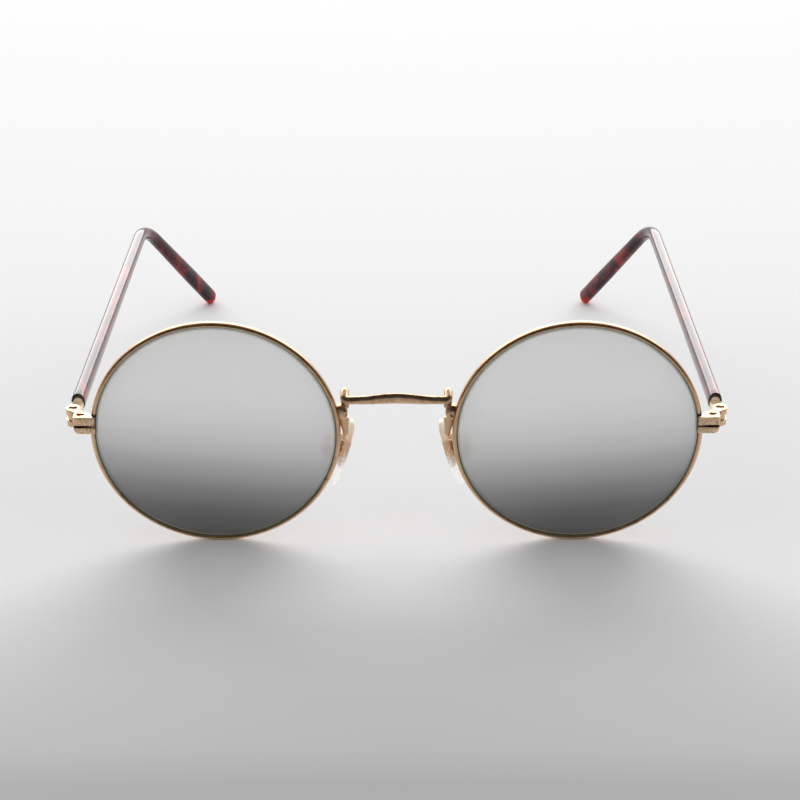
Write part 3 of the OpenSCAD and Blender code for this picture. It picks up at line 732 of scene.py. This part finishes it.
def temple_path():
    """Straight back from the hinge, an arc over the ear, and straight down to the tip."""
    ahead = np.array([-math.sin(TEMPLE_IN), math.cos(TEMPLE_IN), 0])
    turn = TEMPLE_IN + EAR_IN
    down = np.array([-math.sin(turn) * math.cos(EAR_DROP), math.cos(turn) * math.cos(EAR_DROP),
                     -math.sin(EAR_DROP)])
    start = np.array([SLEEVE_X, SLEEVE_AT, 0.0])
    bend = start + ahead * STRAIGHT
    end = bend + down * (EAR_L - TIP_SHY)
    arc = corner(start, bend, end, BEND_R, count=28)
    run = start + (arc[0] - start) * np.linspace(0, 1, 41)[1:-1, None]
    drop = arc[-1] + (end - down * CAP - arc[-1]) * np.linspace(0, 1, 25)[1:, None]
    cap = end - down * CAP * (1 - np.sin(CAP_TURN))[:, None]
    return np.vstack([start[None], run, arc, drop, cap])


def sleeve_rings():
    """Outside: height goes from the hinge's to the bend's and on to the tip's by ease();
    the cap shrinks by the cosine. Lip: a half round between the bore and the outside."""
    path = temple_path()
    steps = np.linalg.norm(np.diff(path, axis=0), axis=1)
    s = np.concatenate([[0], np.cumsum(steps)])
    size = np.ones(len(path))
    size[-len(CAP_TURN):] = np.cos(CAP_TURN)
    height = SLEEVE_H - SLIMMER * ease(s / STRAIGHT)
    height = height + TIP_SWELL * ease((s - STRAIGHT) / (EAR_L * 0.75))
    shape = {"count": 64, "boxy": SLEEVE_BOXY}
    outside = sections(path, [0, 0, 1], SLEEVE_W * size, height * size, **shape)
    bore = sections(path[:BORE_RINGS], [0, 0, 1], BORE_W, BORE_H, **shape)
    a = np.radians(np.linspace(-90, 90, LIP_RINGS))[:, None, None]
    blend = (1 + np.sin(a)) / 2
    forward = headings(path)[0] * LIP * (1 - np.cos(a))
    lip = bore[0] + (outside[0] - bore[0]) * blend + forward
    rings = np.vstack([bore[:0:-1], lip, outside[1:]])
    along = np.concatenate([s[BORE_RINGS - 1:0:-1] * -0.1, np.linspace(-0.02, 0.02, LIP_RINGS),
                            s[1:] * 0.1])
    return rings, along


rings, along = sleeve_rings()
pair("tortoise_sleeve_", worn(rings), "temple_", TORTOISE, "temple_sleeve_", "tortoise",
     along=along)

# %% [markdown]
# ## Nose pads
# A pad is a soft oval of clouded plastic, cream above and white below, moulded
# over a small metal plate that shows through it. Light enters it behind and comes out in
# front, so it needs subsurface scattering over a few millimetres, and not a white paint. The
# clear lower end guides that light down to its tip, which a faint glow of its own stands for,
# painted light, and its white is partly painted light too.

# %% Pad finish
# The plate shows between two places in cm along the pad, and on the two faces: 0.25 is the
# middle of a face. The white end begins by its height in metres
PLATE_FROM, PLATE_TO, PLATE_FACE = (0.52, 0.6), (1.2, 1.12), (0.15, 0.2)
WHITE_END = (0.0190, 0.0150)
CREAM_TONES = (0.3, tone(236, 190, 156)), (0.6, tone(246, 206, 178)), (0.8, tone(252, 224, 204))
WHITE_TONES = (0.3, tone(250, 246, 236)), (0.6, tone(254, 252, 246))


def pad_plastic():
    """Cream plastic above and white below, mixed by the height, with a painted glow of light in
    the white lower end; plate = face * ends, in specks.
    """
    f = Finish("pad_plastic", IOR=1.45, Coat_Weight=0.6, Coat_Roughness=0.06,
               Subsurface_Weight=1.0, Subsurface_Radius=(1.0, 0.92, 0.82),
               Subsurface_Scale=0.008, Emission_Strength=0.27)
    here = f.position()
    haze = f.noise(here, 380.0, detail=3.0, distortion=0.5)
    fine = f.noise(here, 2600.0, detail=2.0)
    uv = f.add("ShaderNodeTexCoord", output="UV")
    along, round_pad = f.axis(uv, "X"), f.axis(uv, "Y")
    face = f.maths("PINGPONG", round_pad, 0.25)
    plate = 0.55 + face.step(*PLATE_FACE) * 0.45
    plate = plate * along.step(*PLATE_FROM) * along.step(*PLATE_TO)
    lower = f.axis(here, "Z").step(*WHITE_END)
    body = f.mix(lower, f.ramp(haze, *CREAM_TONES), f.ramp(haze, *WHITE_TONES))
    f.set("Base Color", f.mix(plate * fine.step(0.30, 0.52), body, tone(112, 78, 56)))
    # Painted light: the white lower end glows, for the light carried down through it
    f.set("Emission Color", f.mix(lower, (0, 0, 0), (1.0, 0.98, 0.93)))
    f.set("Alpha", 0.95 - lower * 0.35)
    f.set("Roughness", haze * 0.2 + 0.1)
    f.bump(fine, distance=0.00002, strength=0.35)
    return f.material


PAD = pad_plastic()
print("pad finish:", PAD.name, "with", len(PAD.node_tree.nodes), "nodes")

# %% Pads
# In mm: the pad's height, width and thickness, and the share by which it is fuller below;
# then its middle in the upright frame, and how it slants and swings
PAD_H, PAD_W, PAD_T, FULLER = 15.0, 7.6, 1.8, 0.08
PAD_AT = np.array([11.2, 7.4, -8.1])
PAD_SLANT, PAD_SPLAY = math.radians(18), math.radians(9)


def pad_place(points):
    """Turns the pad's own frame by its slant, swings it by its splay, moves it to PAD_AT."""
    x, y, z = np.moveaxis(np.asarray(points, float), -1, 0)
    c, s = math.cos(PAD_SLANT), math.sin(PAD_SLANT)
    x, z = x * c - z * s, z * c + x * s
    c, s = math.cos(-PAD_SPLAY), math.sin(-PAD_SPLAY)
    return np.stack([x * c - y * s, x * s + y * c, z], -1) + PAD_AT


def end_to_end(rows):
    """Half a turn from one pole of a lump to the other, stopping 3 degrees short of both."""
    return np.radians(np.linspace(3, 177, rows))


def pad_rings(rows=48, count=48):
    """Height = -cos(a) * h / 2, width = w * sin(a)^0.75, a little fuller below, and
    thickness = t * sin(a)^0.55, round an upright middle line."""
    a = end_to_end(rows)[:, None]
    v, wide = -np.cos(a), np.sin(a)
    width, thick = PAD_W * wide**0.75 * (1 - FULLER * v), PAD_T * wide**0.55
    k = np.linspace(0, 2 * math.pi, count, endpoint=False)[None, :]
    return np.stack([thick / 2 * np.sin(k), width / 2 * np.cos(k), v * PAD_H / 2 + 0 * k], -1)


pair("clear_pad_", pad_place(pad_rings()), "pad_", PAD, "nose_pad_", "pad_plastic")

# %% [markdown]
# ## Feet and pad arms
# The foot is a lump of solder between the bridge's leg, the rim and the pad arm. On the rim's
# side it follows the rim's circle, and on the nose's side it bulges where the leg and the arm
# stick in it. Metaballs would flow together as softly, but wouldn't keep to the rim, so one
# formula draws each side. Each arm is a wire that drops from the foot, a little swollen by the
# solder that ran down on it, steps back past the rim and runs down the back of the pad's box.

# %% Feet
FOOT_H, FOOT_BOXY, BULGE, OVER_RIM = 3.4, 0.7, 0.1, 0.4


def foot_rings(rows=36, count=48):
    """Height = top - h/2 (1 - cos a). One side lies on the rim, x = rim_x - sqrt(r^2 - z^2),
    the other at foot_x + bulge (1 - cos 2a); both draw in by sin(a)^0.5 at the two ends. The
    solder covers the rim's rounded corner, so r ends OVER_RIM inside the wire."""
    a = end_to_end(rows)[:, None]
    z = FOOT_TOP - FOOT_H / 2 * (1 - np.cos(a))
    fill = np.sin(a) ** 0.5
    rim_side = RIM_X - np.sqrt((LENS_R + WIRE_W - OVER_RIM) ** 2 - z**2)
    nose_side = FOOT_X + BULGE * (1 - np.cos(2 * a))
    k = np.linspace(0, 2 * math.pi, count, endpoint=False)[None, :]
    half = (rim_side - nose_side) / 2
    x = nose_side + half * (1 + fill * power(np.cos(k), FOOT_BOXY))
    y = FOOT_Y + FOOT_DEEP / 2 * (1 + fill * power(np.sin(k), FOOT_BOXY))
    return np.stack([x, y, z + 0 * k], -1)


pair("solder_foot_", foot_rings(), "front", SOLDER, "bridge_foot_", "gold_wire")

# %% Pad arms
# In mm. The arm: its wire, how deep it sits in the foot, how far it drops, its gap behind the
# rim, which is also its shift aside, its step down there, and its bends
ARM, ARM_SUNK, ARM_DROP, ARM_GAP, ARM_STEP, ARM_BENDS = 1.2, 0.6, 3.92, 0.55, 1.2, (0.7, 1, 1.2)
# How far the screw is behind the pad's middle and the box's back behind the screw, and the
# box's height
PAD_PIN, BOX_DEEP, BOX_H = 2.05, 1.3, 4.0
BOX_BACK = PAD_PIN + BOX_DEEP + SEAT + ARM / 2
# The solder on the arm: how far it ran down, how much wider it is, and its shift to the rim
RUN_DOWN, RUN_WIDER, RUN_ASIDE = 4.2, 0.9, 0.4


def arm_rings():
    """A round wire through five points, bent at the inner three; where the solder ran, by
    ease() of the distance from the top, it is wider, mostly on the rim's side."""
    top = np.array([FOOT_X + ARM / 2, FOOT_Y + ARM, FOOT_TOP - FOOT_H + ARM_SUNK])
    low = top - [0, 0, ARM_DROP]
    behind = np.array([low[0] + ARM_GAP, WIRE_D + ARM_GAP + ARM / 2, low[2] - ARM_STEP])
    box_top, box_low = pad_place([[BOX_BACK, 0, BOX_H / 2 + ARM], [BOX_BACK, 0, -BOX_H / 4]])
    path = rounded([top, low, behind, box_top, box_low], ARM_BENDS, count=12)
    path = np.vstack([top + (path[1] - top) * np.linspace(0, 1, 13)[:-1, None], path[1:]])
    fallen = ease(1 - (top[2] - path[:, 2]) / RUN_DOWN)
    path = path + fallen[:, None] * (RUN_ASIDE, 0, 0)
    return sections(path, [1, 0, 0], ARM, ARM + RUN_WIDER * fallen, count=24)


pair("arm_wire_", arm_rings(), "front", GOLD, "pad_arm_", "gold_wire")

# %% [markdown]
# ## Blocks, leaves, boxes, butts and screws
# The small machined parts are right in the CAD model, but their edges are as sharp as a
# drawing. Real ones are tumbled and worn, and it is the softened edge that catches the light.
# A copy of the solid is merged, its flat faces are joined again, and a Bevel takes the edge
# off, by a width that suits the part. The cores inside the temples and the pads hardly show,
# so they keep their CAD shape and only get a finish.

# %% Softened copies of small solids
# Under FLAT two faces are one; edges over CREASE are bevelled, and over SHARP they stay sharp
FLAT, CREASE, SHARP = math.radians(0.8), math.radians(30), math.radians(32)


def merged(source):
    """Points that agree to a tenth of a micrometre become one, and triangles that have lost
    a side go."""
    co = np.empty(len(source.vertices) * 3, np.float32)
    source.vertices.foreach_get("co", co)
    loops = np.empty(len(source.loops), np.int32)
    source.loops.foreach_get("vertex_index", loops)
    co = np.round(co.reshape(-1, 3).astype(float), 7)
    points, where = np.unique(co, axis=0, return_inverse=True)
    faces = where.reshape(-1)[loops].reshape(-1, 3)
    a, b, c = faces.T
    return points, faces[(a != b) & (b != c) & (c != a)]


def softened(node, name, width, segments=3):
    """The merged copy's coplanar triangles join (under FLAT), and then edges over CREASE are
    bevelled by width in metres."""
    mesh = bpy.data.meshes.new(name + "_raw")
    points, faces = merged(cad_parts[node].data)
    mesh.from_pydata(points, [], faces)
    work = bmesh.new()
    work.from_mesh(mesh)
    bmesh.ops.dissolve_limit(work, angle_limit=FLAT, verts=work.verts, edges=work.edges)
    work.to_mesh(mesh)
    work.free()
    helper = bpy.data.objects.new(name + "_raw", mesh)
    bpy.context.scene.collection.objects.link(helper)
    bevel = helper.modifiers.new("soft edge", "BEVEL")
    bevel.width, bevel.segments = width, segments
    bevel.limit_method, bevel.angle_limit = "ANGLE", CREASE
    bpy.context.view_layer.update()
    graph = bpy.context.evaluated_depsgraph_get()
    done = bpy.data.meshes.new_from_object(helper.evaluated_get(graph))
    bpy.data.objects.remove(helper)
    done.name = name
    done.polygons.foreach_set("use_smooth", np.ones(len(done.polygons), bool))
    done.set_sharp_from_angle(angle=SHARP)
    return done


# Node, piece, width of the worn edge in mm, finish, body and slot
SMALL = [
    ("closing_block_upper_", "block_upper_", 0.16, BLOCK_GOLD, "front", "gold_wire"),
    ("closing_block_lower_", "block_lower_", 0.16, BLOCK_GOLD, "front", "gold_wire"),
    ("hinge_leaf_", "leaf_", 0.06, GOLD, "front", "gold_wire"),
    ("pad_box_", "box_", 0.1, GOLD, "front", "gold_wire"),
    ("temple_butt_", "butt_", 0.12, LIT_BUTT_GOLD, "temple_", "gold_wire"),
    ("lock_screw_", "lock_", 0.04, LOCK_HEAD, "front", "screw"),
    ("hinge_screw_", "pin_", 0.04, HINGE_HEAD, "front", "screw"),
    ("pad_screw_", "pad_pin_", 0.04, BRIGHT, "front", "screw"),
]
for node, name, width, finish, body, slot in SMALL:
    for word in SIDES:
        mesh = softened(node + word, name + word, width / 1000)
        place(mesh, of_side(body, word), finish, node + word)

# %% Cores, which keep their CAD shape
for word in SIDES:
    for node, finish in (("temple_core_", LIT_CORE_GOLD), ("pad_core_", PLATE_GOLD)):
        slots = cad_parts[node + word].data.materials
        slots.clear()
        slots.append(finish)
        print(node + word, "-", finish.name)

# %% [markdown]
# ## Floor, light and camera
# The glasses stand on a seamless pale sheet, lit from a large soft box behind and above, which
# gives the white line on every top edge and a soft shadow towards the camera. Several small
# lamps would draw as many hard lines. The room in front is dimmer, and that is what the dark
# line in the wire mirrors.

# %% Floor
# The sheet's painted light and shade, falling off towards the front and the far back: depth on
# the table and how much light the paper returns
PAPER_SHADE = [(-0.146, 0.545), (-0.135, 0.645), (-0.12, 0.71), (-0.112, 0.755), (-0.103, 0.80),
         (-0.095, 0.84), (-0.085, 0.88), (-0.075, 0.88), (-0.045, 0.84), (-0.02, 0.84),
         (0.034, 0.84), (0.065, 0.845), (0.141, 0.81), (0.239, 0.75), (0.34, 0.69), (0.4, 0.66)]
# The painted shading starts this far in front of the origin and is this long, and its blue is
# raised
SHADE_FRONT, SHADE_L, COOL = 0.2, 0.6, 1.004
# Metres: where the paper that the metal mirrors is painted dark in front, a painted dark
# reflection, where the sheet fades to white, and half the sheet's side
IN_FRONT, FADES, SHEET_HALF = (-0.14, -0.20), (0.6, 2.2), 8.0
# White for the far backdrop, and the dark of the painted reflection
WHITE, REFLECTED_DARK = tone(249, 249, 250), (0.05, 0.05, 0.05)


def floor_finish():
    """Paper by its depth, with painted light and shade, and painted dark in front for glossy rays,
    a painted dark reflection; a Mix Shader turns it to plain white far away, for the rays that
    see the backdrop: the camera's, the glass's, and the metal's unless they go to the front."""
    f = Finish("paper", Roughness=0.9, Specular_IOR_Level=0.1)
    here = f.position()
    depth = f.axis(here, "Y")
    shaded_stops = [((y + SHADE_FRONT) / SHADE_L, (v, v, v * COOL)) for y, v in PAPER_SHADE]
    ray = f.add("ShaderNodeLightPath", output="Is Camera Ray")
    glossy = f.add("ShaderNodeLightPath", output="Is Glossy Ray")
    through = f.add("ShaderNodeLightPath", output="Is Transmission Ray")
    in_front = depth.step(*IN_FRONT)
    # Painted light and shade: the paper's grey falls off towards the front and the far back
    paper = f.ramp((depth + SHADE_FRONT) / SHADE_L, *shaded_stops)
    # Painted reflection: for glossy rays the paper is dark in front, so the metal mirrors a dark
    # floor
    f.set("Base Color", f.mix(glossy * in_front, paper, REFLECTED_DARK))
    away = f.add("ShaderNodeVectorMath", {"operation": "LENGTH"}, {0: here}, "Value")
    seen = 1 - (1 - ray) * (1 - glossy * (1 - in_front)) * (1 - through)
    white = f.add("ShaderNodeEmission", None, {"Color": (*WHITE, 1)})
    shaders = {0: away.step(*FADES) * seen, 1: f.shader, 2: white}
    f.feed(f.surface, f.add("ShaderNodeMixShader", None, shaders))
    return f.material


def sheet_mesh(name, half):
    """A square from -half to half in x and y, at height 0."""
    mesh = bpy.data.meshes.new(name)
    mesh.from_pydata([(-half, -half, 0), (half, -half, 0), (half, half, 0), (-half, half, 0)], [],
                     [(0, 1, 2, 3)])
    return mesh


floor = bpy.data.objects.new("paper_sheet", sheet_mesh("paper_sheet", SHEET_HALF))
bpy.context.scene.collection.objects.link(floor)
floor.data.materials.append(floor_finish())
print("sheet:", 2 * SHEET_HALF, "m square")

# %% World
# Brightness of the room in front and behind, and the depths between which it changes,
# first as the metal mirrors it and then as it fills the shadows
MIRRORED, FILL = (0.04, 0.75, 0.1, 0.6), (0.60, 0.34, -0.35, 0.35)


def room():
    """A dark room in front for what mirrors it, a softer one for what is only lit by it, and
    plain white for the camera."""
    world = bpy.data.worlds.new("room")
    air = Tree(world)
    depth = air.axis(air.add("ShaderNodeTexCoord", output="Generated"), "Y")

    def walls(front, back, low, high):
        """Grey from the brightness in front to the one behind, by the depth looked at."""
        grey = air.blend(depth, low, high, front, back)
        return air.add("ShaderNodeBackground", None, {"Color": grey})

    def choose(ray, others, these):
        """One shader for this kind of ray, and another for all others."""
        share = air.add("ShaderNodeLightPath", output=ray)
        return air.add("ShaderNodeMixShader", None, {0: share, 1: others, 2: these})

    white = air.add("ShaderNodeBackground", None, {"Color": (*WHITE, 1)})
    lit = choose("Is Glossy Ray", walls(*FILL), walls(*MIRRORED))
    seen = choose("Is Camera Ray", lit, white)
    air.add("ShaderNodeOutputWorld", None, {"Surface": seen})
    bpy.context.scene.world = world
    print("world:", world.name, "with", len(world.node_tree.nodes), "nodes")


room()


# %% Lamp
def soft_box(name, at, target, width, height, radiance):
    """An area lamp of that radiance: watts = radiance * pi * area."""
    lamp = bpy.data.lights.new(name, "AREA")
    lamp.shape, lamp.size, lamp.size_y = "RECTANGLE", width, height
    lamp.energy = radiance * math.pi * width * height
    box = bpy.data.objects.new(name, lamp)
    bpy.context.scene.collection.objects.link(box)
    box.location = at
    box.rotation_mode = "QUATERNION"
    box.rotation_quaternion = (Vector(target) - Vector(at)).to_track_quat("-Z", "Y")
    print(name, "-", round(lamp.energy, 1), "W")


soft_box("back_box", at=(0.0, 0.78, 0.50), target=(0, -0.02, 0.02), width=1.8, height=0.7,
         radiance=3.3)

# %% Camera
# The focal length and the frame in pixels, the sensor in mm, and the angles in degrees; then
# the distance to the target and the target's place, in metres
FOCAL_PX, PICTURE_PX, SENSOR = 2007.6, 800, 36.0
ELEVATION, YAW, ROLL = 25.576, 0.093, -0.123
DISTANCE, TARGET = 0.400, np.array([0.000705, -0.0616, 0.031726])


def camera():
    """Stands back from the target along the line of sight, turned by yaw and roll."""
    e, yaw, roll = np.radians([ELEVATION, YAW, ROLL])
    c, s = math.cos(roll), math.sin(roll)
    back = np.array([math.sin(yaw) * math.cos(e), -math.cos(yaw) * math.cos(e), math.sin(e)])
    right = unit(np.cross([0, 0, 1], back))
    up = np.cross(back, right)
    right, up = right * c + up * s, up * c - right * s
    lens = bpy.data.cameras.new("photograph")
    lens.sensor_width, lens.lens = SENSOR, FOCAL_PX * SENSOR / PICTURE_PX
    lens.clip_start, lens.clip_end = 0.01, 50
    view = bpy.data.objects.new("photograph", lens)
    bpy.context.scene.collection.objects.link(view)
    turn = np.eye(4)
    turn[:3, 0], turn[:3, 1], turn[:3, 2] = right, up, back
    turn[:3, 3] = TARGET + back * DISTANCE
    view.matrix_world = Matrix(turn.tolist())
    bpy.context.scene.camera = view
    print("camera at", turn[:3, 3].round(3), "m, focal length", round(lens.lens, 1), "mm")


camera()
bpy.context.scene.view_settings.view_transform = "Standard"
